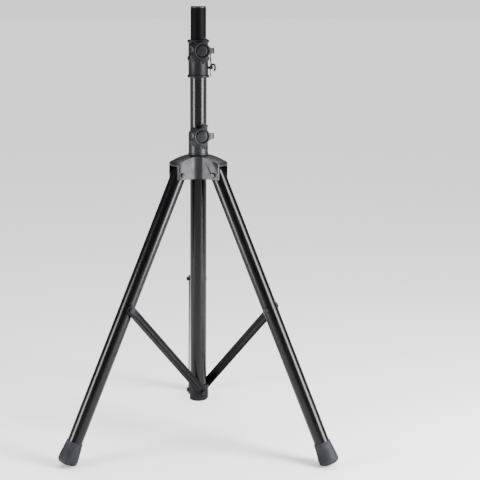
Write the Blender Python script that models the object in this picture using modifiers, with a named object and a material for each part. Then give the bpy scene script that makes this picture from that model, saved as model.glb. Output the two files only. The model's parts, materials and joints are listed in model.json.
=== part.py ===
"""Speaker tripod stand: telescoping mast on a sliding three-leg hub with folding braces.

Metres, +Z up. The object stands on the floor at z = 0, with its origin at the middle of its
footprint. Everything is worked out from the sizes below, around the mast's axis.
"""
from math import asin, cos, pi, radians, sin, sqrt

import bmesh
import bpy
from mathutils import Matrix, Vector

# ---- driving dimensions -------------------------------------------------------------------
GAP = 0.0003                 # clearance between two pieces that touch
SLIDE_GAP = 0.0003           # radial clearance of a sliding tube

POLE_R = 0.0175              # upper pole, the 35 mm size that speaker sockets take
LEG_R = 0.0175               # leg tube
POLE_WALL = 0.0015
TUBE_WALL = 0.0012           # lower tube, which the pole slides in
LEG_WALL = 0.0015
POLE_LENGTH = 0.845
POLE_SHOWN = 0.074           # how far the pole and its cap stand above the top collar
CAP_THICK = 0.004
CAP_PLUG = 0.018             # length of a cap's plug inside its tube

LEG_ANGLE = radians(24.6)    # legs from the vertical when they are spread
LEG_LENGTH = 0.69712           # from the hub pivot to the end of the foot
LEG_ABOVE_PIVOT = 0.006
FIRST_LEG = radians(-30.0)   # azimuth of the first leg
LEG_COUNT = 3

PIVOT_OUT = 0.051            # leg pivots from the mast's axis
BRACE_ON_LEG = 0.325         # brace pivot from the leg's hub pivot, along the leg
BRACE_LENGTH = 0.2917        # between the brace's pivots
BRACE_WIDTH = 0.021
BRACE_THICK = 0.003
BRACE_STANDOFF = 0.0016      # a brace's inner face clear of the thicker of the leg and the mast

HUB_PAST_PIVOT = 0.017       # hub's outer edge beyond the leg pivots
HUB_DOME_R = 0.136
HUB_BELOW_PIVOT = 0.0105
HUB_ABOVE_PIVOT = 0.0420     # hub pivot to the top of the dome
HUB_EDGE = 0.005
CHEEK = 0.0042               # thickness of a hub cheek beside its leg
LEG_SIDE_GAP = 0.0006
SLOT_BEHIND_LEG = 0.002
WEB_FILLET = 0.022
BUSH_WALL = 0.0016

COLLAR_WALL = 0.0031
COLLAR_RIB = 0.0025
HUB_COLLAR_HEIGHT = 0.0520
TOP_COLLAR_HEIGHT = 0.0850
TOP_COLLAR_SEAT = 0.0290     # part of the top collar above the lower tube's end
TOP_COLLAR_ABOVE_HUB = 0.1230  # free tube between the two collars
BOSS_R = 0.0095
BOSS_LENGTH = 0.0106         # clamp boss beyond its collar
HUB_KNOB_BELOW_TOP = 0.0060   # knob axis below its collar's upper edge
TOP_KNOB_BELOW_TOP = 0.0235

KNOB_AZIMUTH = radians(-80.0)
KNOB_R = 0.0290
KNOB_LOBES = 5
KNOB_VALLEY_R = 0.0185
KNOB_SCALLOP_R = 0.0115
KNOB_THICK = 0.0150
SCREW_R = 0.0040

PIN_R = 0.0032
PIN_ABOVE_BOTTOM = 0.0220    # lock pin from the top collar's lower edge
PIN_HEAD_GAP = 0.0015        # lock pin's flange clear of the collar's rib
PIN_HEAD_LENGTH = 0.0136
PIN_HEAD_R = 0.0075
PIN_FLANGE_R = 0.0095
PIN_FLANGE = 0.0030
PIN_AZIMUTH = radians(0.0)

BOLT_R = 0.0030
BOLT_HEAD_R = 0.0062
BOLT_HEAD = 0.0035
NUT_R = 0.0058
NUT_HEIGHT = 0.0045
SPACER_R = 0.0080

BRACKET_WALL = 0.0045
BRACKET_ABOVE_PIN = 0.0160
BRACKET_BELOW_PIN = 0.0220
BRACKET_FLOOR = 0.0070
BRACKET_EDGE = 0.0060

FOOT_WALL = 0.0020           # rubber around the leg at the foot's mouth
FOOT_FLARE = 0.0033
FOOT_LENGTH = 0.0520
FOOT_WIDEST = 0.0160         # above the sole
FOOT_END = 0.0120
FOOT_EDGE = 0.0090

ROUND = 32                   # sides of a tube
SMALL = 12                   # sides of a bolt

# ---- worked out ---------------------------------------------------------------------------
TUBE_R = POLE_R + SLIDE_GAP + TUBE_WALL
FOOT_TOP_R = LEG_R + FOOT_WALL
FOOT_R = FOOT_TOP_R + FOOT_FLARE
BRACE_SIDE = max(LEG_R, TUBE_R) + BRACE_STANDOFF  # from the leg's middle plane
HUB_R = PIVOT_OUT + HUB_PAST_PIVOT
PIVOT_Z = (LEG_LENGTH - FOOT_EDGE) * cos(LEG_ANGLE) + (FOOT_R - FOOT_EDGE) * sin(LEG_ANGLE) + FOOT_EDGE
BRACE_TOP_OUT = PIVOT_OUT + BRACE_ON_LEG * sin(LEG_ANGLE)
BRACE_TOP_Z = PIVOT_Z - BRACE_ON_LEG * cos(LEG_ANGLE)
BRACE_ANGLE = asin(BRACE_TOP_OUT / BRACE_LENGTH)
BRACE_LOW_Z = BRACE_TOP_Z - BRACE_LENGTH * cos(BRACE_ANGLE)
HUB_TOP_Z = PIVOT_Z + HUB_ABOVE_PIVOT
HUB_LOW_Z = PIVOT_Z - HUB_BELOW_PIVOT
HUB_COLLAR_Z = HUB_TOP_Z + GAP
HUB_COLLAR_TOP_Z = HUB_COLLAR_Z + HUB_COLLAR_HEIGHT
TOP_COLLAR_Z = HUB_COLLAR_TOP_Z + TOP_COLLAR_ABOVE_HUB
TOP_COLLAR_TOP_Z = TOP_COLLAR_Z + TOP_COLLAR_HEIGHT
TUBE_TOP_Z = TOP_COLLAR_TOP_Z - TOP_COLLAR_SEAT
TUBE_LOW_Z = BRACE_LOW_Z - BRACKET_BELOW_PIN + BRACKET_FLOOR + GAP
CAP_TOP_Z = TOP_COLLAR_TOP_Z + POLE_SHOWN
POLE_TOP_Z = CAP_TOP_Z - CAP_THICK - GAP
HUB_KNOB_Z = HUB_COLLAR_TOP_Z - HUB_KNOB_BELOW_TOP
TOP_KNOB_Z = TOP_COLLAR_TOP_Z - TOP_KNOB_BELOW_TOP
PIN_Z = TOP_COLLAR_Z + PIN_ABOVE_BOTTOM
COLLAR_R = TUBE_R + SLIDE_GAP + COLLAR_WALL
BOSS_OUT = COLLAR_R + BOSS_LENGTH
SLOT_HALF = LEG_R + LEG_SIDE_GAP
HUB_BORE_R = TUBE_R + SLIDE_GAP + BUSH_WALL + GAP
SLOT_CEILING_Z = PIVOT_Z + LEG_R + LEG_ABOVE_PIVOT * 0.35

for old in list(bpy.data.objects):
    bpy.data.objects.remove(old, do_unlink=True)

parts = bpy.data.collections.new("speaker_stand")
cutters = bpy.data.collections.new("cutters")
bpy.context.scene.collection.children.link(parts)
bpy.context.scene.collection.children.link(cutters)


# ---- materials ----------------------------------------------------------------------------
def material(name, colour, metallic, roughness):
    mat = bpy.data.materials.new(name)
    mat.use_nodes = True
    shader = mat.node_tree.nodes["Principled BSDF"]
    shader.inputs["Base Color"].default_value = (*colour, 1.0)
    shader.inputs["Metallic"].default_value = metallic
    shader.inputs["Roughness"].default_value = roughness
    return mat


BLACK_PAINT = material("black_powder_coat", (0.012, 0.012, 0.013), 0.0, 0.35)
SATIN_PAINT = material("satin_black_pole", (0.010, 0.010, 0.011), 0.0, 0.5)
NYLON = material("black_nylon", (0.016, 0.016, 0.018), 0.0, 0.5)
RUBBER = material("black_rubber", (0.02, 0.02, 0.022), 0.0, 0.8)
ZINC = material("zinc_steel", (0.62, 0.62, 0.60), 1.0, 0.3)


# ---- shape helpers ------------------------------------------------------------------------
def pivot(name, parent, location, rotation=(0.0, 0.0, 0.0)):
    """An empty on a joint's axis, which carries the pieces of one moving body."""
    empty = bpy.data.objects.new(name, None)
    parts.objects.link(empty)
    empty.parent = parent
    empty.location = location
    empty.rotation_euler = rotation
    return empty


def add_piece(name, mesh, mat, parent, location=(0, 0, 0), rotation=(0, 0, 0)):
    piece = bpy.data.objects.new(name, mesh)
    if mat is None:
        cutters.objects.link(piece)
        piece.hide_render = True
        piece.display_type = "WIRE"
    else:
        parts.objects.link(piece)
        mesh.materials.append(mat)
    piece.parent = parent
    piece.location = location
    piece.rotation_euler = rotation
    return piece


def turned(name, profile, mat, parent, steps=ROUND, location=(0, 0, 0), rotation=(0, 0, 0)):
    """Turn a profile of (radius, height) points, outer side first and downwards, about Z.
    A profile with no point on the axis is closed into a ring."""
    mesh = bpy.data.meshes.new(name)
    count = len(profile)
    edges = [(i, i + 1) for i in range(count - 1)]
    if min(r for r, _ in profile) > 0:
        edges.append((count - 1, 0))
    mesh.from_pydata([(r, 0, z) for r, z in profile], edges, [])
    piece = add_piece(name, mesh, mat, parent, location, rotation)
    screw = piece.modifiers.new("turn", "SCREW")
    screw.axis = "Z"
    screw.steps = steps
    screw.render_steps = steps
    screw.use_merge_vertices = True
    screw.merge_threshold = 0.00001
    screw.use_smooth_shade = True
    return piece


def ring(name, inner, outer, low, high, mat, parent, edge=0.0006, **place):
    """A tube or bush with small chamfers at its outer ends."""
    profile = [(outer - edge, high), (outer, high - edge), (outer, low + edge), (outer - edge, low),
               (inner, low), (inner, high)]
    return turned(name, profile, mat, parent, **place)


def rod(name, radius, low, high, mat, parent, edge=0.0003, **place):
    """A solid round bar along Z."""
    profile = [(0, high), (radius - edge, high), (radius, high - edge), (radius, low + edge),
               (radius - edge, low), (0, low)]
    return turned(name, profile, mat, parent, **place)


def arc(centre, radius, start, end, steps):
    """Points of a circular arc, as (radius, height) or (x, y) pairs; angles in degrees."""
    points = []
    for i in range(steps + 1):
        angle = radians(start + (end - start) * i / steps)
        points.append((centre[0] + radius * cos(angle), centre[1] + radius * sin(angle)))
    return points


def plate(name, outlines, thickness, mat, parent, location=(0, 0, 0), rotation=(0, 0, 0)):
    """A flat outline with its holes, in X and Y, extruded along Z about its middle."""
    curve = bpy.data.curves.new(name, "CURVE")
    curve.dimensions = "2D"
    curve.fill_mode = "BOTH"
    curve.extrude = thickness / 2
    for outline in outlines:
        spline = curve.splines.new("POLY")
        spline.points.add(len(outline) - 1)
        for point, (x, y) in zip(spline.points, outline):
            point.co = (x, y, 0, 1)
        spline.use_cyclic_u = True
    source = bpy.data.objects.new(name + "_outline", curve)
    bpy.context.scene.collection.objects.link(source)
    graph = bpy.context.evaluated_depsgraph_get()
    mesh = bpy.data.meshes.new_from_object(source.evaluated_get(graph))
    bpy.data.objects.remove(source)
    shape = bmesh.new()
    shape.from_mesh(mesh)
    bmesh.ops.remove_doubles(shape, verts=shape.verts, dist=0.00001)
    bmesh.ops.recalc_face_normals(shape, faces=shape.faces)
    shape.to_mesh(mesh)
    shape.free()
    mesh.name = name
    return add_piece(name, mesh, mat, parent, location, rotation)


def block(name, low, high, mat, parent, location=(0, 0, 0), rotation=(0, 0, 0)):
    """A box between two corners."""
    mesh = bpy.data.meshes.new(name)
    shape = bmesh.new()
    bmesh.ops.create_cube(shape, size=1.0)
    size = Vector(high) - Vector(low)
    middle = (Vector(high) + Vector(low)) / 2
    bmesh.ops.transform(shape, matrix=Matrix.Translation(middle) @ Matrix.Diagonal((*size, 1)), verts=shape.verts)
    shape.to_mesh(mesh)
    shape.free()
    return add_piece(name, mesh, mat, parent, location, rotation)


def combine(piece, other, operation):
    boolean = piece.modifiers.new(operation.lower(), "BOOLEAN")
    boolean.operation = operation
    boolean.object = other
    boolean.solver = "EXACT"


def circle(x, y, radius, steps=24):
    return arc((x, y), radius, 0, 360 - 360 / steps, steps - 1)


def soften(piece, width, segments=2, angle=35):
    bevel = piece.modifiers.new("edges", "BEVEL")
    bevel.width = width
    bevel.segments = segments
    bevel.limit_method = "ANGLE"
    bevel.angle_limit = radians(angle)


# ---- joint frames -------------------------------------------------------------------------
stand = pivot("stand", None, (0, 0, 0))
mast = pivot("mast_axis", stand, (0, 0, 0))


def azimuth(index):
    return FIRST_LEG + index * 2 * pi / LEG_COUNT


def radial(angle, out, side, z):
    """A point out along an azimuth, and to its left side."""
    return (out * cos(angle) - side * sin(angle), out * sin(angle) + side * cos(angle), z)


# ---- hub ----------------------------------------------------------------------------------
def make_hub():
    rise = HUB_DOME_R - sqrt(HUB_DOME_R ** 2 - HUB_BORE_R ** 2)
    profile = [(HUB_BORE_R, HUB_TOP_Z), (COLLAR_R, HUB_TOP_Z)]
    for i in range(1, 9):
        r = COLLAR_R + (HUB_R - HUB_EDGE - COLLAR_R) * i / 8
        profile.append((r, HUB_TOP_Z + rise - (HUB_DOME_R - sqrt(HUB_DOME_R ** 2 - r ** 2))))
    corner = profile.pop()
    profile += arc((HUB_R - HUB_EDGE, corner[1] - HUB_EDGE), HUB_EDGE, 72, 0, 4)
    profile += [(HUB_R, HUB_LOW_Z), (HUB_BORE_R, HUB_LOW_Z)]
    hub = turned("leg_hub", profile, NYLON, stand, steps=48)
    reach = HUB_R * 1.5
    web = SLOT_HALF + CHEEK
    for i in range(LEG_COUNT):
        turn = (0, 0, azimuth(i))
        slot = block(f"slot_cutter_{i + 1}", (PIVOT_OUT - LEG_R - SLOT_BEHIND_LEG, -SLOT_HALF, HUB_LOW_Z - 0.02),
                     (reach, SLOT_HALF, SLOT_CEILING_Z), None, stand, rotation=turn)
        combine(hub, slot, "DIFFERENCE")
        # between two arms, the outline follows their cheeks and a fillet
        facing = azimuth(i) + pi / LEG_COUNT
        half = pi / LEG_COUNT
        fillet_x = (web + WEB_FILLET) / sin(half)
        bend = [(fillet_x - WEB_FILLET * cos(a), WEB_FILLET * sin(a))
                for a in [(pi / 2 - half) * (k / 5 - 1) for k in range(11)]]
        far = [(bend[-1][0] + reach * cos(half), bend[-1][1] + reach * sin(half)),
               (bend[0][0] + reach * cos(half), bend[0][1] - reach * sin(half))]
        cheek = plate(f"web_cutter_{i + 1}", [bend + far], 0.2, None, stand,
                      location=(0, 0, PIVOT_Z), rotation=(0, 0, facing))
        combine(hub, cheek, "DIFFERENCE")
        hole = rod(f"hub_bolt_cutter_{i + 1}", BOLT_R + GAP, -0.04, 0.04, None, stand, steps=SMALL,
                   location=radial(azimuth(i), PIVOT_OUT, 0, PIVOT_Z), rotation=(-pi / 2, 0, azimuth(i)))
        combine(hub, hole, "DIFFERENCE")
    soften(hub, 0.0008, 1, 40)
    inner = TUBE_R + SLIDE_GAP
    ring("hub_bush", inner, inner + BUSH_WALL, HUB_LOW_Z, HUB_TOP_Z - 0.001, NYLON, stand)


def collar_boss(collar, knob_z, bore):
    """The boss that takes the clamp screw, joined to its collar and bored for the tube."""
    boss = rod(collar.name + "_boss", BOSS_R, bore + 0.0012, BOSS_OUT, None, stand, steps=28, edge=0.001,
               location=(0, 0, knob_z), rotation=(0, pi / 2, KNOB_AZIMUTH))
    combine(collar, boss, "UNION")
    hole = rod(collar.name + "_screw_hole", SCREW_R + GAP, 0.005, BOSS_OUT * 1.3, None, stand, steps=SMALL,
               location=(0, 0, knob_z), rotation=(0, pi / 2, KNOB_AZIMUTH))
    combine(collar, hole, "DIFFERENCE")


def make_hub_collar():
    bore = TUBE_R + SLIDE_GAP
    low, high = HUB_COLLAR_Z, HUB_COLLAR_TOP_Z
    step = 0.0012
    profile = [(COLLAR_R - step, high), (COLLAR_R, high - step), (COLLAR_R, low + 0.004), (COLLAR_R + 0.0008, low + 0.003),
               (COLLAR_R + 0.0008, low), (bore, low), (bore, high)]
    collar = turned("hub_collar", profile, NYLON, stand)
    collar_boss(collar, HUB_KNOB_Z, bore)


# ---- mast ---------------------------------------------------------------------------------
def make_mast():
    tube = ring("lower_tube", TUBE_R - TUBE_WALL, TUBE_R, TUBE_LOW_Z, TUBE_TOP_Z, BLACK_PAINT, mast)
    hole = rod("tube_pin_cutter", PIN_R + GAP, TUBE_R * 0.6, TUBE_R * 1.6, None, mast, steps=SMALL,
               location=(0, 0, PIN_Z), rotation=(0, pi / 2, PIN_AZIMUTH))
    combine(tube, hole, "DIFFERENCE")


def make_top_collar():
    wide = TUBE_R + SLIDE_GAP
    narrow = POLE_R + SLIDE_GAP
    low, high = TOP_COLLAR_Z, TOP_COLLAR_TOP_Z
    rib = COLLAR_R + COLLAR_RIB
    middle = (low + high) / 2
    seat = TUBE_TOP_Z + GAP
    profile = [(COLLAR_R - 0.001, high), (rib - 0.0006, high - 0.001), (rib, high - 0.002), (rib, high - 0.005),
               (COLLAR_R, high - 0.008), (COLLAR_R, middle + 0.006), (rib, middle + 0.003), (rib, middle - 0.003),
               (COLLAR_R, middle - 0.006), (COLLAR_R, low + 0.0065), (rib, low + 0.0045), (rib, low + 0.001),
               (rib - 0.001, low), (wide, low), (wide, seat), (narrow, seat), (narrow, high)]
    collar = turned("top_collar", profile, NYLON, mast)
    collar_boss(collar, TOP_KNOB_Z, narrow)
    hole = rod("collar_pin_cutter", PIN_R + GAP, TUBE_R * 0.6, TUBE_R * 1.6, None, mast, steps=SMALL,
               location=(0, 0, PIN_Z), rotation=(0, pi / 2, PIN_AZIMUTH))
    combine(collar, hole, "DIFFERENCE")


def make_bracket():
    outer = TUBE_R + GAP + BRACKET_WALL
    low = BRACE_LOW_Z - BRACKET_BELOW_PIN
    high = BRACE_LOW_Z + BRACKET_ABOVE_PIN
    bore = TUBE_R + GAP
    outside = [(outer - 0.0015, high), (outer, high - 0.0015)]
    outside += arc((outer - BRACKET_EDGE, low + BRACKET_EDGE), BRACKET_EDGE, 0, -90, 4)
    outside += [(0, low)]
    bracket = cup("base_bracket", outside, [(0, low + BRACKET_FLOOR), (bore, low + BRACKET_FLOOR), (bore, high)], NYLON, mast)
    for i in range(LEG_COUNT):
        flat = block(f"flat_cutter_{i + 1}", (-0.04, BRACE_SIDE - GAP, low - 0.01), (0.04, 0.05, high + 0.01),
                     None, mast, rotation=(0, 0, azimuth(i)))
        combine(bracket, flat, "DIFFERENCE")
    soften(bracket, 0.0005, 1, 40)


# ---- pole ---------------------------------------------------------------------------------
def make_pole():
    low = POLE_TOP_Z - POLE_LENGTH
    inner = POLE_R - POLE_WALL
    ring("inner_pole", inner, POLE_R, low, POLE_TOP_Z, SATIN_PAINT, mast)
    plug_r = inner - GAP
    cap = [(0, CAP_TOP_Z), (POLE_R - 0.002, CAP_TOP_Z), (POLE_R - 0.0006, CAP_TOP_Z - 0.0008), (POLE_R, CAP_TOP_Z - 0.002),
           (POLE_R, CAP_TOP_Z - CAP_THICK), (plug_r, CAP_TOP_Z - CAP_THICK), (plug_r, CAP_TOP_Z - CAP_THICK - CAP_PLUG),
           (0, CAP_TOP_Z - CAP_THICK - CAP_PLUG)]
    turned("pole_cap", cap, NYLON, mast)
    plug = [(0, low + CAP_PLUG), (plug_r, low + CAP_PLUG), (plug_r, low - GAP), (POLE_R, low - GAP),
            (POLE_R, low - CAP_THICK), (0, low - CAP_THICK)]
    turned("pole_plug", plug, NYLON, mast)


# ---- legs and braces ----------------------------------------------------------------------
def make_leg(index):
    name = str(index + 1)
    turn = azimuth(index)
    leg = pivot("leg_axis_" + name, stand, radial(turn, PIVOT_OUT, 0, PIVOT_Z), (0, -LEG_ANGLE, turn))
    end = -(LEG_LENGTH - FOOT_END - GAP)
    tube = ring("leg_tube_" + name, LEG_R - LEG_WALL, LEG_R, end, LEG_ABOVE_PIVOT, BLACK_PAINT, leg)
    across = (-pi / 2, 0, 0)
    plug_r = LEG_R - LEG_WALL - GAP
    plug = turned("leg_plug_" + name, [(0, LEG_ABOVE_PIVOT + 0.002), (plug_r, LEG_ABOVE_PIVOT + 0.002), (plug_r, -0.022), (0, -0.022)],
                  NYLON, leg, steps=32)
    for piece, tag in ((tube, "tube"), (plug, "plug")):
        hole = rod(f"{tag}_pivot_cutter_{name}", BOLT_R + GAP, -0.03, 0.03, None, leg, steps=SMALL, rotation=across)
        combine(piece, hole, "DIFFERENCE")
    hole = rod("tube_brace_cutter_" + name, BOLT_R + GAP, -0.03, 0.03, None, leg, steps=SMALL,
               location=(0, 0, -BRACE_ON_LEG), rotation=across)
    combine(tube, hole, "DIFFERENCE")
    foot_high = -LEG_LENGTH + FOOT_LENGTH
    foot = [(FOOT_TOP_R - 0.001, foot_high), (FOOT_TOP_R, foot_high - 0.001), (FOOT_TOP_R + 0.0008, foot_high - 0.012)]
    foot += [(FOOT_R, -LEG_LENGTH + FOOT_WIDEST)]
    foot += arc((FOOT_R - FOOT_EDGE, -LEG_LENGTH + FOOT_EDGE), FOOT_EDGE, 0, -90, 6)
    bore = LEG_R + GAP
    foot += [(0, -LEG_LENGTH)]
    inner = [(0, -LEG_LENGTH + FOOT_END), (bore, -LEG_LENGTH + FOOT_END), (bore, foot_high)]
    cup(f"foot_{name}", foot, inner, RUBBER, leg)

    # bolts of the hub pivot, which stay with the hub
    bolt_place = dict(location=radial(turn, PIVOT_OUT, 0, PIVOT_Z), rotation=(-pi / 2, 0, turn))
    face = SLOT_HALF + CHEEK + GAP
    bolt_and_nut("leg_pivot", name, face, face, stand, bolt_place)
    # bolt of the brace, through the leg, its spacer and the brace
    brace_place = dict(location=(0, 0, -BRACE_ON_LEG), rotation=across)
    outside = BRACE_SIDE + BRACE_THICK + GAP
    bolt_and_nut("brace_pivot", name, LEG_R + GAP, outside, leg, brace_place)
    ring("brace_spacer_" + name, BOLT_R + GAP, SPACER_R, LEG_R + GAP, BRACE_SIDE - GAP, NYLON, leg, steps=SMALL,
         edge=0.0004, **brace_place)


def cup(name, outside, inside, mat, parent, steps=ROUND):
    """A turned cup, its outer profile and its inner one each ending on the axis."""
    profile = outside + inside
    mesh = bpy.data.meshes.new(name)
    joint = len(outside) - 1
    edges = [(i, i + 1) for i in range(len(profile) - 1) if i != joint] + [(len(profile) - 1, 0)]
    mesh.from_pydata([(r, 0, z) for r, z in profile], edges, [])
    piece = add_piece(name, mesh, mat, parent)
    screw = piece.modifiers.new("turn", "SCREW")
    screw.steps = steps
    screw.render_steps = steps
    screw.use_merge_vertices = True
    screw.merge_threshold = 0.00001
    screw.use_smooth_shade = True
    return piece


def bolt_and_nut(kind, name, low_face, high_face, parent, place):
    """A bolt along Z with its head below low_face, and its nut above high_face."""
    tip = high_face + NUT_HEIGHT + 0.0015
    head = -low_face
    bolt = [(0, tip), (BOLT_R - 0.0006, tip), (BOLT_R, tip - 0.0006), (BOLT_R, head), (BOLT_HEAD_R, head),
            (BOLT_HEAD_R, head - BOLT_HEAD * 0.5), (BOLT_HEAD_R * 0.75, head - BOLT_HEAD), (0, head - BOLT_HEAD)]
    turned(f"{kind}_bolt_{name}", bolt, ZINC, parent, steps=SMALL, **place)
    hexagon = circle(0, 0, NUT_R, 6)
    nut = plate(f"{kind}_nut_{name}", [hexagon, circle(0, 0, BOLT_R + GAP, SMALL)], NUT_HEIGHT, ZINC, parent)
    turn = Matrix.Translation((0, 0, high_face + NUT_HEIGHT / 2))
    nut.data.transform(turn)
    nut.location = place["location"]
    nut.rotation_euler = place["rotation"]


def make_brace(index):
    name = str(index + 1)
    turn = azimuth(index)
    frame = pivot("brace_axis_" + name, stand, radial(turn, BRACE_TOP_OUT, 0, BRACE_TOP_Z), (0, BRACE_ANGLE, turn))
    end = BRACE_WIDTH / 2
    # drawn in the brace's own plane, X across it and Y along it
    outline = arc((0, 0), end, 0, 180, 10) + arc((0, -BRACE_LENGTH), end, 180, 360, 10)
    holes = [circle(0, 0, BOLT_R + GAP, SMALL), circle(0, -BRACE_LENGTH, BOLT_R + GAP, SMALL)]
    bar = plate("brace_" + name, [outline] + holes, BRACE_THICK, BLACK_PAINT, frame,
                location=(0, BRACE_SIDE + BRACE_THICK / 2, 0), rotation=(pi / 2, 0, 0))
    soften(bar, 0.0004, 1, 60)
    inner = BRACE_SIDE + GAP
    face = BRACE_SIDE + BRACE_THICK + GAP
    pin = [(0, face + BOLT_HEAD), (BOLT_HEAD_R * 0.75, face + BOLT_HEAD), (BOLT_HEAD_R, face + BOLT_HEAD * 0.5),
           (BOLT_HEAD_R, face), (BOLT_R, face), (BOLT_R, inner), (0, inner)]
    turned("brace_foot_rivet_" + name, pin, ZINC, frame, steps=SMALL,
           location=(0, 0, -BRACE_LENGTH), rotation=(-pi / 2, 0, 0))


# ---- knobs and lock pin -------------------------------------------------------------------
def make_knob(name, knob_z, tip, parent):
    axis = pivot(name + "_axis", parent, (0, 0, knob_z), (0, pi / 2, KNOB_AZIMUTH))
    back = BOSS_OUT + GAP * 3
    # round, with a scallop milled out between each two lobes; one lobe points sideways
    outline = []
    scallop_out = KNOB_VALLEY_R + KNOB_SCALLOP_R
    steps = KNOB_LOBES * 14
    for i in range(steps):
        angle = 2 * pi * i / steps
        off = (angle * KNOB_LOBES / (2 * pi) % 1 - 0.5) * 2 * pi / KNOB_LOBES
        reach = KNOB_SCALLOP_R ** 2 - (scallop_out * sin(off)) ** 2
        r = KNOB_R if reach < 0 else min(KNOB_R, scallop_out * cos(off) - sqrt(reach))
        outline.append((r * cos(angle + pi / 2), r * sin(angle + pi / 2)))
    knob = plate(name, [outline], KNOB_THICK, NYLON, axis, location=(0, 0, back + KNOB_THICK / 2))
    soften(knob, 0.0022, 2, 50)
    socket = rod(name + "_socket", 0.0065, back - 0.001, back + 0.008, None, axis, steps=24)
    combine(knob, socket, "DIFFERENCE")
    screw = [(0, back + 0.0077), (0.0062, back + 0.0077), (0.0062, back + 0.003), (SCREW_R, back + 0.003), (SCREW_R, tip + 0.001),
             (SCREW_R - 0.001, tip), (0, tip)]
    turned(name + "_screw", screw, ZINC, axis, steps=6 * 4)


def make_lock_pin():
    axis = pivot("lock_pin_axis", mast, (0, 0, PIN_Z), (0, pi / 2, PIN_AZIMUTH))
    tip = POLE_R + SLIDE_GAP + GAP
    face = COLLAR_R + COLLAR_RIB + PIN_HEAD_GAP
    head = face + PIN_HEAD_LENGTH
    pin = [(0, head), (PIN_HEAD_R - 0.0015, head), (PIN_HEAD_R, head - 0.0015), (PIN_HEAD_R, face + PIN_FLANGE),
           (PIN_FLANGE_R, face + PIN_FLANGE), (PIN_FLANGE_R, face), (PIN_R, face), (PIN_R, tip + 0.001),
           (PIN_R - 0.001, tip), (0, tip)]
    turned("lock_pin", pin, ZINC, axis, steps=24)


make_hub()
make_hub_collar()
make_mast()
make_top_collar()
make_bracket()
make_pole()
for leg_index in range(LEG_COUNT):
    make_leg(leg_index)
    make_brace(leg_index)
make_knob("hub_knob", HUB_KNOB_Z, TUBE_R + GAP, stand)
make_knob("top_knob", TOP_KNOB_Z, POLE_R + GAP, mast)
make_lock_pin()

# the origin is under the middle of the footprint, so the mast stands off it along Y
bpy.context.view_layer.update()
low_y = high_y = 0.0
for piece in parts.objects:
    if piece.type == "MESH" and piece.name.startswith("foot_"):
        evaluated = piece.evaluated_get(bpy.context.evaluated_depsgraph_get())
        ys = [(piece.matrix_world @ v.co).y for v in evaluated.data.vertices]
        low_y = min(low_y, *ys)
        high_y = max(high_y, *ys)
stand.location.y = -(low_y + high_y) / 2
bpy.context.view_layer.update()
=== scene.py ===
"""Looks of the speaker tripod stand: smooth tubes, moulded hub and collars, pressed braces."""
import json
from math import cos, pi, radians, sin

import bpy
from mathutils import Matrix, Vector

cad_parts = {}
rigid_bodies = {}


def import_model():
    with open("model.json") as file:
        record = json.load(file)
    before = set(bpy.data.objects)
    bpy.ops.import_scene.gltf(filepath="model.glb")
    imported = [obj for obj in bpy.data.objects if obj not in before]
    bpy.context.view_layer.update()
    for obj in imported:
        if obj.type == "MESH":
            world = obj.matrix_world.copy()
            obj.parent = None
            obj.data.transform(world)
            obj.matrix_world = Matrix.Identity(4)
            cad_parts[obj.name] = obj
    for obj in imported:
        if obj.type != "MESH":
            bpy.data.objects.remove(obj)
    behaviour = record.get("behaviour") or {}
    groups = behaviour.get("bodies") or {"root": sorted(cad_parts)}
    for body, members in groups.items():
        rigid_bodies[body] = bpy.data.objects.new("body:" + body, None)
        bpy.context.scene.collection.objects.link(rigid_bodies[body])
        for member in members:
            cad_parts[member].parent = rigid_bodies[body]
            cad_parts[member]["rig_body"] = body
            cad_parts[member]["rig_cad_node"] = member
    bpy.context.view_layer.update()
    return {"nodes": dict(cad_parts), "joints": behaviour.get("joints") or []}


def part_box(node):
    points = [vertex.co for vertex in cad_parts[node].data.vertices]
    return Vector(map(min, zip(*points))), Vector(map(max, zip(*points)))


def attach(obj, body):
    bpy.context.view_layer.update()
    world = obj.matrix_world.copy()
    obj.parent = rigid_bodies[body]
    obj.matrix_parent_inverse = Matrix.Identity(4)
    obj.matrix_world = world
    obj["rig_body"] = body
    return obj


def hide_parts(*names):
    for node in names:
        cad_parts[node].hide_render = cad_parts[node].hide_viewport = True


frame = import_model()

JOINTS = {joint["name"]: joint for joint in frame["joints"]}
UP = Vector((0, 0, 1))
LEGS = (1, 2, 3)


# ---- places read from the frame -----------------------------------------------------------
def corners(node):
    low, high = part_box(node)
    return Vector(low), Vector(high)


def middle(node):
    low, high = corners(node)
    return (low + high) / 2


def middle_height(node):
    low, high = corners(node)
    return (low.z + high.z) / 2


def reach(node, matrix):
    """A node's lowest and highest point along a frame's Z, and its largest radius about it."""
    inverse = matrix.inverted()
    points = [inverse @ vertex.co for vertex in frame["nodes"][node].data.vertices]
    heights = [point.z for point in points]
    return min(heights), max(heights), max((p.x ** 2 + p.y ** 2) ** 0.5 for p in points)


def frame_at(origin, z_axis, y_axis):
    """A right-handed frame with its Z and Y along the given directions."""
    z_axis = z_axis.normalized()
    y_axis = y_axis.normalized()
    x_axis = y_axis.cross(z_axis)
    matrix = Matrix((x_axis, y_axis, z_axis)).transposed().to_4x4()
    matrix.translation = origin
    return matrix


TUBE_LOW, TUBE_HIGH = corners("lower_tube")
POLE_LOW, POLE_HIGH = corners("inner_pole")
CAP_LOW, CAP_HIGH = corners("pole_cap")
MAST = Vector(((TUBE_LOW.x + TUBE_HIGH.x) / 2, (TUBE_LOW.y + TUBE_HIGH.y) / 2, 0))
TUBE_R = (TUBE_HIGH.x - TUBE_LOW.x) / 2
POLE_R = (POLE_HIGH.x - POLE_LOW.x) / 2
LEG_R = POLE_R               # the legs are cut from the same tube as the pole
LEG_ANGLE = radians(JOINTS["leg_fold_1"]["range_deg"][1])


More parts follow.
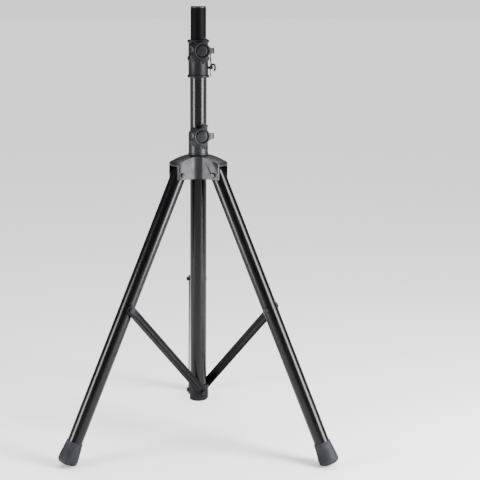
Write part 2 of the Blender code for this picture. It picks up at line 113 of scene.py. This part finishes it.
def leg_frame(leg):
    """Origin at the hub pivot, Z back along the leg and Y along the pivot."""
    joint = JOINTS[f"leg_fold_{leg}"]
    across = Vector(joint["axis"])
    outward = across.cross(UP)
    down = outward * sin(LEG_ANGLE) - UP * cos(LEG_ANGLE)
    return frame_at(Vector(joint["pos_m"]), -down, across)


def brace_frame(leg):
    """Origin at the brace's upper pivot, Z back along the brace and Y along the pivot."""
    joint = JOINTS[f"strut_fold_{leg}"]
    across = Vector(joint["axis"]).normalized()
    run = middle(f"brace_foot_rivet_{leg}") - Vector(joint["pos_m"])
    run -= across * run.dot(across)
    return frame_at(Vector(joint["pos_m"]), -run, across), run.length


def knob_frame(knob):
    """Origin where the clamp screw's axis meets the mast's, Z out along the screw."""
    joint = JOINTS[knob.replace("_knob", "_clamp_turn")]
    return frame_at(Vector(joint["pos_m"]), Vector(joint["axis"]), UP)


# ---- modelling ----------------------------------------------------------------------------
def deselect():
    if bpy.context.object and bpy.context.object.mode != "OBJECT":
        bpy.ops.object.mode_set(mode="OBJECT")
    bpy.ops.object.select_all(action="DESELECT")


def name_piece(name):
    piece = bpy.context.object
    piece.name = name
    piece.data.name = name
    return piece


def only(piece):
    deselect()
    piece.select_set(True)
    bpy.context.view_layer.objects.active = piece


def grow_profile(profile):
    """Extrude the selected ring through the rest of a profile of (radius, height) points."""
    for (r0, z0), (r1, z1) in zip(profile, profile[1:]):
        bpy.ops.mesh.extrude_edges_move(TRANSFORM_OT_translate={"value": (0, 0, z1 - z0)})
        bpy.ops.transform.resize(value=(r1 / r0, r1 / r0, 1), center_override=(0, 0, z1))


def turned(name, profile, sides=64, hollow=False):
    """Turn a profile about Z: a solid with filled ends, or a ring whose profile closes."""
    deselect()
    radius, height = profile[0]
    bpy.ops.mesh.primitive_circle_add(vertices=sides, radius=radius, location=(0, 0, height))
    piece = name_piece(name)
    bpy.ops.object.mode_set(mode="EDIT")
    bpy.ops.mesh.select_all(action="SELECT")
    grow_profile(profile)
    bpy.ops.mesh.select_all(action="DESELECT")
    bpy.ops.mesh.select_non_manifold()
    if hollow:
        bpy.ops.mesh.bridge_edge_loops()
    else:
        bpy.ops.mesh.fill_holes(sides=0)
    bpy.ops.mesh.select_all(action="SELECT")
    bpy.ops.mesh.normals_make_consistent(inside=False)
    bpy.ops.object.mode_set(mode="OBJECT")
    return piece


def rod(name, radius, low, high, sides=48):
    return turned(name, [(radius, low), (radius, high)], sides)


def flat_bar(name, half, thick, length, start=0):
    """A bar with round ends, hanging from the origin down -Z, its thickness along Y."""
    deselect()
    bpy.ops.mesh.primitive_circle_add(vertices=48, radius=half, fill_type="NGON",
                                      location=(0, 0, 0))
    bar = name_piece(name)
    bar.rotation_euler = (pi / 2, 0, 0)
    bpy.ops.object.transform_apply(location=True, rotation=True, scale=True)
    bpy.ops.object.mode_set(mode="EDIT")
    bpy.ops.mesh.select_all(action="SELECT")
    bpy.ops.transform.translate(value=(0, start, 0))
    bpy.ops.mesh.select_all(action="DESELECT")
    bpy.ops.object.mode_set(mode="OBJECT")
    pick(bar, lambda at: at.z < -half * 0.02)
    bpy.ops.object.mode_set(mode="EDIT")
    bpy.ops.transform.translate(value=(0, 0, -length))
    bpy.ops.mesh.select_all(action="SELECT")
    bpy.ops.mesh.extrude_region_move(TRANSFORM_OT_translate={"value": (0, thick, 0)})
    bpy.ops.mesh.select_all(action="SELECT")
    bpy.ops.mesh.normals_make_consistent(inside=False)
    bpy.ops.object.mode_set(mode="OBJECT")
    return bar


def pick(piece, wanted):
    """Select a piece's vertices by place, and nothing else of it."""
    for face in piece.data.polygons:
        face.select = False
    for edge in piece.data.edges:
        edge.select = False
    for vertex in piece.data.vertices:
        vertex.select = bool(wanted(vertex.co))


def apply_modifiers(piece):
    only(piece)
    for modifier in list(piece.modifiers):
        bpy.ops.object.modifier_apply(modifier=modifier.name)


def round_edges(piece, width, segments=3, angle=30):
    bevel = piece.modifiers.new("edges", "BEVEL")
    bevel.width = width
    bevel.segments = segments
    bevel.limit_method = "ANGLE"
    bevel.angle_limit = radians(angle)
    bevel.use_clamp_overlap = True
    apply_modifiers(piece)


def smooth(piece, angle=35):
    only(piece)
    bpy.ops.object.shade_smooth_by_angle(angle=radians(angle))


def place(piece, matrix):
    """Put a piece in its place and leave its object at the origin, unturned and unscaled."""
    only(piece)
    piece.matrix_world = matrix @ piece.matrix_world
    bpy.ops.object.transform_apply(location=True, rotation=True, scale=True)


def boolean(piece, other, operation):
    step = piece.modifiers.new("join", "BOOLEAN")
    step.operation = operation
    step.object = other
    step.solver = "EXACT"
    apply_modifiers(piece)
    bpy.data.objects.remove(other, do_unlink=True)


def coat(piece, material):
    piece.data.materials.clear()
    piece.data.materials.append(material)


def copy_of(piece, name):
    twin = piece.copy()
    twin.data = piece.data.copy()
    twin.name = name
    twin.data.name = name
    bpy.context.scene.collection.objects.link(twin)
    return twin


def finish_piece(piece, body, material, slot, *nodes):
    """Give a piece its material and body, and hide the CAD nodes it stands for; the slot
    argument is not used.
    """
    coat(piece, material)
    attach(piece, body)
    if nodes:
        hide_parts(*nodes)


def merged_copy(node, name):
    """A welded copy of a CAD node, with its flat faces whole again."""
    twin = copy_of(frame["nodes"][node], name)
    twin.parent = None
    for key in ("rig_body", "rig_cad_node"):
        if key in twin:
            del twin[key]
    only(twin)
    bpy.ops.object.mode_set(mode="EDIT")
    bpy.ops.mesh.select_all(action="SELECT")
    bpy.ops.mesh.remove_doubles(threshold=0.00002)
    bpy.ops.mesh.dissolve_limited(angle_limit=radians(0.6))
    bpy.ops.object.mode_set(mode="OBJECT")
    return twin


# ---- materials ----------------------------------------------------------------------------
def linear(hex_colour):
    """An sRGB hex colour as linear RGBA."""
    values = [int(hex_colour[i:i + 2], 16) / 255 for i in (1, 3, 5)]
    return tuple(v / 12.92 if v <= 0.04045 else ((v + 0.055) / 1.055) ** 2.4
                 for v in values) + (1.0,)


def add(tree, kind, links=(), **settings):
    """Add a node, set its properties and inputs, and link other nodes' outputs to its inputs."""
    node = tree.nodes.new(kind)
    for key, value in settings.items():
        if key.startswith("in_"):
            node.inputs[key[3:].replace("_", " ")].default_value = value
        else:
            setattr(node, key, value)
    for output, socket in links:
        tree.links.new(output, node.inputs[socket])
    return node


def per_metre(millimetres):
    """The scale of a pattern whose features are this big, on coordinates in metres."""
    return 1000.0 / millimetres


def new_material(name):
    material = bpy.data.materials.new(name)
    material.use_nodes = True
    tree = material.node_tree
    shader = tree.nodes["Principled BSDF"]
    place_in = add(tree, "ShaderNodeTexCoord")
    return material, tree, shader, place_in.outputs["Object"]


TONE_MM = 60                 # over how far the tone of a finish changes
WEAR_MM = 14                 # size of a rubbed patch


def skin(name, dark, light, rough, rough_worn, grain_mm, grain_depth, specular, drawn=1.0):
    """A dark finish: a slow change of tone, patches of wear in its gloss, and a fine grain.

    The grain's depth is in metres. A drawn value below 1 stretches the wear up the stand.
    """
    material, tree, shader, coordinates = new_material(name)
    tone = add(tree, "ShaderNodeTexNoise", [(coordinates, "Vector")],
               in_Scale=per_metre(TONE_MM), in_Detail=3.0)
    colours = add(tree, "ShaderNodeValToRGB", [(tone.outputs["Fac"], "Fac")])
    colours.color_ramp.elements[0].color = linear(dark)
    colours.color_ramp.elements[0].position = 0.35
    colours.color_ramp.elements[1].color = linear(light)
    colours.color_ramp.elements[1].position = 0.70
    along = add(tree, "ShaderNodeMapping", [(coordinates, "Vector")])
    along.inputs["Scale"].default_value = (1, 1, drawn)
    wear = add(tree, "ShaderNodeTexNoise", [(along.outputs["Vector"], "Vector")],
               in_Scale=per_metre(WEAR_MM), in_Detail=5.0)
    gloss = add(tree, "ShaderNodeMapRange", [(wear.outputs["Fac"], "Value")])
    gloss.inputs["From Min"].default_value = 0.35
    gloss.inputs["From Max"].default_value = 0.75
    gloss.inputs["To Min"].default_value = rough
    gloss.inputs["To Max"].default_value = rough_worn
    grain = add(tree, "ShaderNodeTexNoise", [(coordinates, "Vector")],
                in_Scale=per_metre(grain_mm), in_Detail=2.0)
    bump = add(tree, "ShaderNodeBump", [(grain.outputs["Fac"], "Height")],
               in_Strength=0.3, in_Distance=grain_depth)
    tree.links.new(colours.outputs["Color"], shader.inputs["Base Color"])
    tree.links.new(gloss.outputs["Result"], shader.inputs["Roughness"])
    tree.links.new(bump.outputs["Normal"], shader.inputs["Normal"])
    shader.inputs["Specular IOR Level"].default_value = specular
    return material


def metal(name, colour, roughness, grain_mm):
    """A plated fastener: fine turning marks break up a clean reflection."""
    material, tree, shader, coordinates = new_material(name)
    grain = add(tree, "ShaderNodeTexNoise", [(coordinates, "Vector")],
                in_Scale=per_metre(grain_mm), in_Detail=5.0)
    spread = add(tree, "ShaderNodeMapRange", [(grain.outputs["Fac"], "Value")])
    spread.inputs["To Min"].default_value = roughness * 0.7
    spread.inputs["To Max"].default_value = roughness * 1.5
    bump = add(tree, "ShaderNodeBump", [(grain.outputs["Fac"], "Height")],
               in_Strength=0.2, in_Distance=0.00005)
    tree.links.new(spread.outputs["Result"], shader.inputs["Roughness"])
    tree.links.new(bump.outputs["Normal"], shader.inputs["Normal"])
    shader.inputs["Base Color"].default_value = linear(colour)
    shader.inputs["Metallic"].default_value = 1.0
    return material


# The specular levels are set below a real finish's, to keep the blacks deep in this light.
# gloss black powder coat on steel tube: long soft highlights over near black, faint orange peel
TUBE_PAINT = skin("gloss_black_powder_coat", "#020203", "#050506", rough=0.23, rough_worn=0.30,
                  grain_mm=2.2, grain_depth=0.00001, specular=0.24, drawn=0.2)
# satin coat on the sliding pole, rubbed by its collar: it stays darker than the tube below it
POLE_PAINT = skin("satin_black_pole_coat", "#010102", "#030304", rough=0.56, rough_worn=0.64,
                  grain_mm=1.6, grain_depth=0.00002, specular=0.05, drawn=0.1)
# glass-filled nylon from a spark-eroded mould: a greyer black, a soft sheen and fine grain
NYLON = skin("moulded_black_nylon", "#0e0e12", "#16161b", rough=0.36, rough_worn=0.46,
             grain_mm=1.2, grain_depth=0.00008, specular=0.26)
# the top collar's nylon has no glass in it, so it is deeper black and duller
DARK_NYLON = skin("moulded_deep_black_nylon", "#060608", "#0c0c0f", rough=0.44,
                  rough_worn=0.54, grain_mm=1.2, grain_depth=0.00008, specular=0.15)
# painted pressed steel: duller than the tubes, since the coat is thin on the flat bar
BRACE_PAINT = skin("black_painted_pressed_steel", "#020203", "#070709", rough=0.40,
                   rough_worn=0.52, grain_mm=1.8, grain_depth=0.00004, specular=0.10)
# moulded rubber: matt and greyer with dust, its pebbled grain drawn 2.4 mm wide so it shows
RUBBER = skin("moulded_black_rubber", "#09090c", "#26262d", rough=0.60, rough_worn=0.80,
              grain_mm=2.4, grain_depth=0.0007, specular=0.2)
# black zinc on turned and pressed fasteners: dark metal with fine marks in its gloss
BLACK_ZINC = metal("black_zinc_fastener", "#26262a", roughness=0.30, grain_mm=0.5)


# ---- camera, light and floor --------------------------------------------------------------
CAMERA_BACK = 2.60
CAMERA_HEIGHT = 1.031
CAMERA_PITCH = 0.1731        # radians below the level
LENS_MM = 86.0
SENSOR_MM = 36.0
SHIFT_RIGHT = 0.0869         # puts the stand left of the middle of the view
SHIFT_UP = -0.0833


def make_camera():
    data = bpy.data.cameras.new("camera")
    data.sensor_width = SENSOR_MM
    data.lens = LENS_MM
    data.shift_x = SHIFT_RIGHT
    data.shift_y = SHIFT_UP
    camera = bpy.data.objects.new("camera", data)
    camera.location = MAST + Vector((0, -CAMERA_BACK, CAMERA_HEIGHT))
    camera.rotation_euler = (pi / 2 - CAMERA_PITCH, 0, 0)
    bpy.context.scene.collection.objects.link(camera)
    bpy.context.scene.camera = camera


FLOOR_R = 60.0
ROOM_LIGHT = 0.14
BACKDROP_LIGHT = 1.25
SKY_LIGHT = 4.4              # a wide soft light from above, in W/m2
# name, azimuth in degrees, distance and height in metres, the box's width and height in
# metres, power in watts
SOFTBOXES = (("box_left", -153, 1.9, 0.42, 0.55, 1.3, 80),
             ("box_right", -28, 1.9, 0.80, 0.70, 2.0, 190))
SOFTBOX_AIM = 0.5            # height on the mast that the softboxes face


def softbox(name, azimuth, distance, height, width, tall, power):
    """A soft light standing around the stand and facing its mast."""
    data = bpy.data.lights.new(name, "AREA")
    data.shape = "RECTANGLE"
    data.size = width
    data.size_y = tall
    data.energy = power
    light = bpy.data.objects.new(name, data)
    angle = radians(azimuth)
    light.location = MAST + Vector((distance * cos(angle), distance * sin(angle), height))
    target = MAST + Vector((0, 0, SOFTBOX_AIM))
    light.rotation_euler = (target - light.location).to_track_quat("-Z", "Y").to_euler()
    bpy.context.scene.collection.objects.link(light)


def make_stage():
    deselect()
    bpy.ops.mesh.primitive_circle_add(vertices=96, radius=FLOOR_R, fill_type="NGON",
                                      location=(0, 0, 0))
    floor = name_piece("floor")
    material, _, shader, _ = new_material("pale_floor")
    shader.inputs["Base Color"].default_value = linear("#f6f6f7")
    shader.inputs["Roughness"].default_value = 0.9
    floor.data.materials.append(material)
    world = bpy.data.worlds.new("studio")
    world.use_nodes = True
    tree = world.node_tree
    # the camera sees a pale backdrop, while the stand is lit by and reflects a dim room
    tree.nodes["Background"].inputs["Color"].default_value = linear("#e9eaee")
    tree.nodes["Background"].inputs["Strength"].default_value = ROOM_LIGHT
    backdrop = add(tree, "ShaderNodeBackground", in_Color=linear("#fbfbfc"),
                   in_Strength=BACKDROP_LIGHT)
    seen = add(tree, "ShaderNodeLightPath")
    mixed = add(tree, "ShaderNodeMixShader", [(seen.outputs["Is Camera Ray"], "Fac")])
    tree.links.new(tree.nodes["Background"].outputs[0], mixed.inputs[1])
    tree.links.new(backdrop.outputs[0], mixed.inputs[2])
    tree.links.new(mixed.outputs[0], tree.nodes["World Output"].inputs["Surface"])
    bpy.context.scene.world = world
    for light in SOFTBOXES:
        softbox(*light)
    data = bpy.data.lights.new("above", "SUN")
    data.energy = SKY_LIGHT
    data.angle = radians(70)
    above = bpy.data.objects.new("above", data)
    above.rotation_euler = (radians(-16), radians(6), 0)
    bpy.context.scene.collection.objects.link(above)


# ---- mast ---------------------------------------------------------------------------------
SHELL_SIDES = 96
CUT_EDGE = 0.0008            # how far the cut end of a tube is broken
TUBE_WALL = 0.0012
POLE_WALL = 0.0015
POLE_EDGE = 0.0004
CAP_SEAM_BELOW_TOP = 0.0042  # where the end cap's rim meets the pole
CAP_PLUG_INSET = 0.0018


def tube_shell(name, radius, wall, edge, high, low, matrix):
    """An open tube with the outer corners of its cut ends broken."""
    profile = [(radius - wall, high), (radius - edge, high), (radius, high - edge),
               (radius, low + edge), (radius - edge, low), (radius - wall, low)]
    tube = turned(name, profile, SHELL_SIDES, hollow=True)
    place(tube, matrix)
    smooth(tube)
    return tube


def make_tubes():
    on_mast = Matrix.Translation(MAST)
    tube = tube_shell("lower_tube_shell", TUBE_R, TUBE_WALL, CUT_EDGE, TUBE_HIGH.z, TUBE_LOW.z,
                      on_mast)
    finish_piece(tube, "mast", TUBE_PAINT, "black_paint", "lower_tube")

    top = CAP_HIGH.z
    seam = top - CAP_SEAM_BELOW_TOP
    pole = tube_shell("pole_shell", POLE_R, POLE_WALL, POLE_EDGE, seam, POLE_LOW.z, on_mast)
    finish_piece(pole, "pole", POLE_PAINT, "satin_pole", "inner_pole")

    plug_r = POLE_R - CAP_PLUG_INSET
    profile = [(plug_r, CAP_LOW.z), (plug_r, seam + 0.0001),
               # the rim
               (POLE_R - 0.0002, seam + 0.0001), (POLE_R, seam + 0.0005),
               (POLE_R, top - 0.0022), (POLE_R - 0.0007, top - 0.0008),
               (POLE_R - 0.0022, top),
               # the end face, with a shallow round dish in its middle
               (0.010, top), (0.0088, top - 0.0006), (0.002, top - 0.0006)]
    cap = turned("pole_end_cap", profile, SHELL_SIDES)
    place(cap, on_mast)
    smooth(cap)
    finish_piece(cap, "pole", NYLON, "nylon", "pole_cap")
    coat(frame["nodes"]["pole_plug"], NYLON)


SLIDE_GAP = 0.0003           # between a tube and what it slides in
COLLAR_WALL = 0.0031
COLLAR_RIB = 0.0025          # how far the top collar's ribs stand out
HUB_COLLAR_TALL = 0.0520     # the ring alone: the boss on it stands higher
BOSS_R = 0.0095
SCREW_HOLE_R = 0.0043
PIN_HOLE_R = 0.0035


def turned_collar(node, body, material, profile, knob, bore):
    """A collar with its boss for the clamp screw, its corners rounded as from the mould."""
    collar = turned(node + "_ring", profile, SHELL_SIDES, hollow=True)
    place(collar, Matrix.Translation(MAST))
    matrix = knob_frame(knob)
    knob_back = reach(knob, matrix)[0]
    boss = turned("boss", [(BOSS_R, bore + 0.0012), (BOSS_R, knob_back - 0.002),
                           (BOSS_R - 0.0011, knob_back - 0.0009)], 48)
    place(boss, matrix)
    boolean(collar, boss, "UNION")
    hole = rod("screw_hole", SCREW_HOLE_R, 0.005, knob_back + 0.01, 24)
    place(hole, matrix)
    boolean(collar, hole, "DIFFERENCE")
    if node == "top_collar":
        hole = rod("pin_hole", PIN_HOLE_R, 0.008, 0.04, 24)
        pin_at = Vector((MAST.x, MAST.y, middle_height("lock_pin")))
        place(hole, frame_at(pin_at, Vector((1, 0, 0)), UP))
        boolean(collar, hole, "DIFFERENCE")
    round_edges(collar, 0.0004, 2, 25)
    smooth(collar, 40)
    finish_piece(collar, body, material, "nylon", node)


def make_collars():
    bore = TUBE_R + SLIDE_GAP
    wall = bore + COLLAR_WALL

    low = corners("hub_collar")[0].z
    high = low + HUB_COLLAR_TALL
    lip = 0.0012
    profile = [(bore, high), (wall - lip, high), (wall - 0.0003, high - 0.0004),
               (wall, high - lip),
               # a small bead where the collar meets the hub
               (wall, low + 0.0042), (wall + 0.0005, low + 0.0034),
               (wall + 0.0008, low + 0.0026), (wall + 0.0008, low + 0.0006),
               (wall + 0.0004, low), (bore, low)]
    turned_collar("hub_collar", "hub", NYLON, profile, "hub_knob", bore)

    low, high = (corner.z for corner in corners("top_collar"))
    rib = wall + COLLAR_RIB
    halfway = (low + high) / 2
    pole_bore = POLE_R + SLIDE_GAP
    shoulder = TUBE_HIGH.z + SLIDE_GAP
    profile = [(pole_bore, high), (wall - 0.001, high),
               # upper rib
               (rib - 0.0010, high - 0.0008), (rib, high - 0.0020), (rib, high - 0.0048),
               (rib - 0.0008, high - 0.0060), (wall, high - 0.0082),
               # middle rib
               (wall, halfway + 0.0060), (wall + 0.0018, halfway + 0.0038),
               (rib, halfway + 0.0028), (rib, halfway - 0.0028),
               (wall + 0.0018, halfway - 0.0038), (wall, halfway - 0.0060),
               # lower rib
               (wall, low + 0.0068), (wall + 0.0018, low + 0.0052), (rib, low + 0.0044),
               (rib, low + 0.0012), (rib - 0.0006, low + 0.0003), (rib - 0.0014, low),
               # inside: the lower tube ends at a shoulder, and the pole goes on through it
               (bore, low), (bore, shoulder), (pole_bore, shoulder)]
    turned_collar("top_collar", "mast", DARK_NYLON, profile, "top_knob", pole_bore)


def make_mouldings():
    for node, body, material in (("leg_hub", "hub", NYLON),
                                 ("base_bracket", "mast", DARK_NYLON)):
        piece = merged_copy(node, node + "_moulding")
        smooth(piece, 32)
        finish_piece(piece, body, material, "nylon", node)


# ---- knobs and lock pin -------------------------------------------------------------------
KNOB_LOBES = 5
KNOB_VALLEY_R = 0.0185       # from the knob's axis to the bottom of a scallop
SCALLOP_R = 0.0115
SEAT_R = 0.0142              # the round recess that the cap sits in
SEAT_DEPTH = 0.0042
KNOB_CAP_R = 0.0125


def make_knob(node, body, material):
    matrix = knob_frame(node)
    back, front, radius = reach(node, matrix)
    profile = [(0.012, back), (radius - 0.0035, back + 0.0006),
               (radius - 0.0006, back + 0.003), (radius, back + 0.0055),
               (radius - 0.0003, front - 0.0055), (radius - 0.0022, front - 0.0032),
               (radius - 0.0065, front - 0.0016),
               # a raised ring round the recess
               (SEAT_R + 0.0028, front - 0.0002), (SEAT_R + 0.0012, front),
               (SEAT_R + 0.0003, front - 0.0004), (SEAT_R, front - 0.0012),
               (SEAT_R, front - SEAT_DEPTH), (0.004, front - SEAT_DEPTH)]
    knob = turned(node + "_star", profile, 120)
    scallop_out = KNOB_VALLEY_R + SCALLOP_R
    for lobe in range(KNOB_LOBES):
        angle = radians(36 + 72 * lobe)
        cutter = rod("scallop", SCALLOP_R, back - 0.01, front + 0.01, 64)
        place(cutter, Matrix.Translation((scallop_out * cos(angle),
                                          scallop_out * sin(angle), 0)))
        boolean(knob, cutter, "DIFFERENCE")
    round_edges(knob, 0.0011, 3, 38)
    place(knob, matrix)
    smooth(knob, 50)
    finish_piece(knob, body, material, "nylon", node)

    top = front - 0.0004
    profile = [(KNOB_CAP_R - 0.0004, front - 0.0044), (KNOB_CAP_R, front - 0.004),
               (KNOB_CAP_R, top - 0.0012), (KNOB_CAP_R - 0.0005, top - 0.0005),
               # a face crowned by less than half a millimetre
               (KNOB_CAP_R * 0.85, top - 0.0001), (KNOB_CAP_R * 0.6, top + 0.0001),
               (KNOB_CAP_R * 0.3, top + 0.0003), (0.0008, top + 0.0003)]
    cap = turned(node + "_cap", profile, SHELL_SIDES)
    place(cap, matrix)
    smooth(cap, 40)
    finish_piece(cap, body, material, "nylon")


PIN_HEAD_LENGTH = 0.0136
PIN_SHANK_R = 0.0032
RING_R = 0.0054              # pull ring, to the middle of its wire
RING_TALL = 1.35             # its height over its width
RING_WIRE_R = 0.0022
SPRING_WIRE_R = 0.0009
# the spring wire's route, from its fixing on the pin: out from the mast, back, and up
SPRING_ROUTE = ((0.004, 0.004, 0.0005), (0.001, 0.001, 0.014), (0, 0, 0.030),
                (-0.0006, 0, 0.034), (-0.0012, 0, 0.030), (-0.0006, 0, 0.006),
                (0, 0, -0.012), (0.0004, 0, -0.021))


def make_lock_pin():
    axis_z = middle_height("lock_pin")
    matrix = frame_at(Vector((MAST.x, MAST.y, axis_z)), Vector(JOINTS["pin_pull"]["axis"]), UP)
    tip, head, _ = reach("lock_pin", matrix)
    flange = head - PIN_HEAD_LENGTH
    profile = [(PIN_SHANK_R - 0.001, tip), (PIN_SHANK_R, tip + 0.001), (PIN_SHANK_R, flange),
               # flange against the collar
               (0.0062, flange), (0.0068, flange + 0.0006), (0.0068, flange + 0.0022),
               (0.0062, flange + 0.0028),
               # neck, out to the pull ring
               (0.0036, flange + 0.0030), (0.0034, flange + 0.0062),
               (0.0026, flange + 0.0070)]
    pin = turned("lock_pin_shank", profile, 48)
    place(pin, matrix)
    smooth(pin)
    finish_piece(pin, "safety_pin", BLACK_ZINC, "zinc", "lock_pin")

    # pull ring: a bent wire, open at its lower end
    centre = MAST + Vector((head - RING_R - RING_WIRE_R + 0.0006, 0, axis_z))
    bend = []
    for i in range(25):
        angle = radians(215 - 290 * i / 24)
        bend.append(centre + Vector((RING_R * cos(angle), 0, RING_R * RING_TALL * sin(angle))))
    make_wire("lock_pin_pull_ring", bend, RING_WIRE_R)

    # the spring wire stands close beside the collar, in front of the pin
    side = MAST.x + flange + 0.0012
    front = MAST.y - 0.0078
    route = [Vector((side + out, front + back, axis_z + up)) for out, back, up in SPRING_ROUTE]
    make_wire("lock_pin_spring_wire", route, SPRING_WIRE_R)


def make_wire(name, points, radius):
    """A bent wire of the lock pin, as a mesh."""
    deselect()
    bpy.ops.curve.primitive_bezier_curve_add(location=(0, 0, 0))
    wire = name_piece(name)
    wire.data.splines.clear()
    spline = wire.data.splines.new("NURBS")
    spline.points.add(len(points) - 1)
    for point, at in zip(spline.points, points):
        point.co = (*at, 1)
    spline.use_endpoint_u = True
    spline.order_u = 3
    wire.data.dimensions = "3D"
    wire.data.resolution_u = 4
    wire.data.bevel_depth = radius
    wire.data.bevel_resolution = 3
    wire.data.use_fill_caps = True
    bpy.ops.object.convert(target="MESH")
    wire = bpy.context.object
    smooth(wire, 50)
    finish_piece(wire, "safety_pin", BLACK_ZINC, "zinc")


# ---- legs and braces ----------------------------------------------------------------------
LEG_WALL = 0.0015
FOOT_LIP_R = 0.0195
FOOT_WIDE_R = 0.0228
FOOT_EDGE = 0.0090           # rounding round the sole
FOOT_WIDEST = 0.016          # height of the widest place above the sole
SOLE_RINGS = (0.0110, 0.0080, 0.0050)
BRACE_HALF = 0.0105
BRACE_END = 0.022            # the pressed channels stop this far from each pivot
CHANNEL_HALF = 0.0021
CHANNEL_OUT = 0.0042         # from the brace's middle line to a channel's
CHANNEL_DEPTH = 0.0007
BOLT_HOLE_R = 0.0033


def make_leg(leg):
    matrix = leg_frame(leg)
    body = f"leg_{leg}"
    foot_end, foot_top, _ = reach(f"foot_{leg}", matrix)
    tube_low, tube_high, _ = reach(f"leg_tube_{leg}", matrix)
    tube = tube_shell(f"leg_{leg}_tube", LEG_R, LEG_WALL, CUT_EDGE, tube_high, tube_low, matrix)
    finish_piece(tube, body, TUBE_PAINT, "black_paint", f"leg_tube_{leg}")
    foot = turned(f"leg_{leg}_foot", foot_profile(foot_end, foot_top), SHELL_SIDES)
    place(foot, matrix)
    smooth(foot, 40)
    finish_piece(foot, body, RUBBER, "rubber", f"foot_{leg}")


def foot_profile(sole, top):
    """A rubber cup: a lip at its mouth, a flare, and rings under its sole."""
    points = [(LEG_R + 0.0002, top - 0.01), (LEG_R + 0.0002, top),
              (FOOT_LIP_R - 0.0007, top), (FOOT_LIP_R, top - 0.0007),
              (FOOT_LIP_R, top - 0.0035), (FOOT_LIP_R - 0.0006, top - 0.0042),
              (FOOT_LIP_R - 0.0006, top - 0.0052), (FOOT_LIP_R + 0.0002, top - 0.006)]
    flare = FOOT_WIDE_R - FOOT_LIP_R - 0.0002
    drop = top - 0.006 - sole - FOOT_WIDEST
    steps = 8
    for i in range(1, steps + 1):
        share = i / steps
        points.append((FOOT_LIP_R + 0.0002 + flare * share ** 1.2, top - 0.006 - drop * share))
    points.append((FOOT_WIDE_R, sole + FOOT_EDGE + 0.0007))
    for i in range(1, steps):
        angle = radians(90 * i / steps)
        points.append((FOOT_WIDE_R - FOOT_EDGE + FOOT_EDGE * cos(angle),
                       sole + FOOT_EDGE - FOOT_EDGE * sin(angle)))
    for ring in SOLE_RINGS:
        points += [(ring + 0.0009, sole), (ring + 0.0005, sole + 0.0009),
                   (ring - 0.0005, sole + 0.0009), (ring - 0.0009, sole)]
    return points


def brace_side(leg, matrix):
    """How far out the brace's inner face lies, and how thick the brace is."""
    inverse = matrix.inverted()
    node = frame["nodes"][f"brace_{leg}"]
    depths = [(inverse @ vertex.co).y for vertex in node.data.vertices]
    return min(depths), max(depths) - min(depths)


def make_brace(leg):
    matrix, length = brace_frame(leg)
    side, thick = brace_side(leg, matrix)
    bar = flat_bar(f"brace_{leg}_pressing", BRACE_HALF, thick, length)
    # two shallow channels are pressed along the outer face
    for channel_x in (-CHANNEL_OUT, CHANNEL_OUT):
        channel = flat_bar("channel", CHANNEL_HALF, 0.0012, length - 2 * BRACE_END,
                           thick - CHANNEL_DEPTH)
        place(channel, Matrix.Translation((channel_x, 0, -BRACE_END)))
        boolean(bar, channel, "DIFFERENCE")
    for drop in (0, -length):
        hole = rod("bolt_hole", BOLT_HOLE_R, -0.002, thick + 0.002, 24)
        place(hole, Matrix.Translation((0, 0, drop)) @ Matrix.Rotation(-pi / 2, 4, "X"))
        boolean(bar, hole, "DIFFERENCE")
    round_edges(bar, 0.0004, 2, 40)
    place(bar, matrix @ Matrix.Translation((0, side, 0)))
    smooth(bar, 40)
    finish_piece(bar, f"strut_{leg}", BRACE_PAINT, "black_paint", f"brace_{leg}")


make_camera()
make_stage()
make_tubes()
make_mouldings()
make_collars()
make_knob("hub_knob", "hub_clamp", NYLON)
make_knob("top_knob", "top_clamp", DARK_NYLON)
make_lock_pin()
for leg in LEGS:
    make_leg(leg)
    make_brace(leg)

for name, node in frame["nodes"].items():
    if any(word in name for word in ("bolt", "nut", "rivet", "screw")):
        coat(node, BLACK_ZINC)
    elif name == "hub_bush" or name.startswith(("leg_plug", "brace_spacer")):
        coat(node, NYLON)
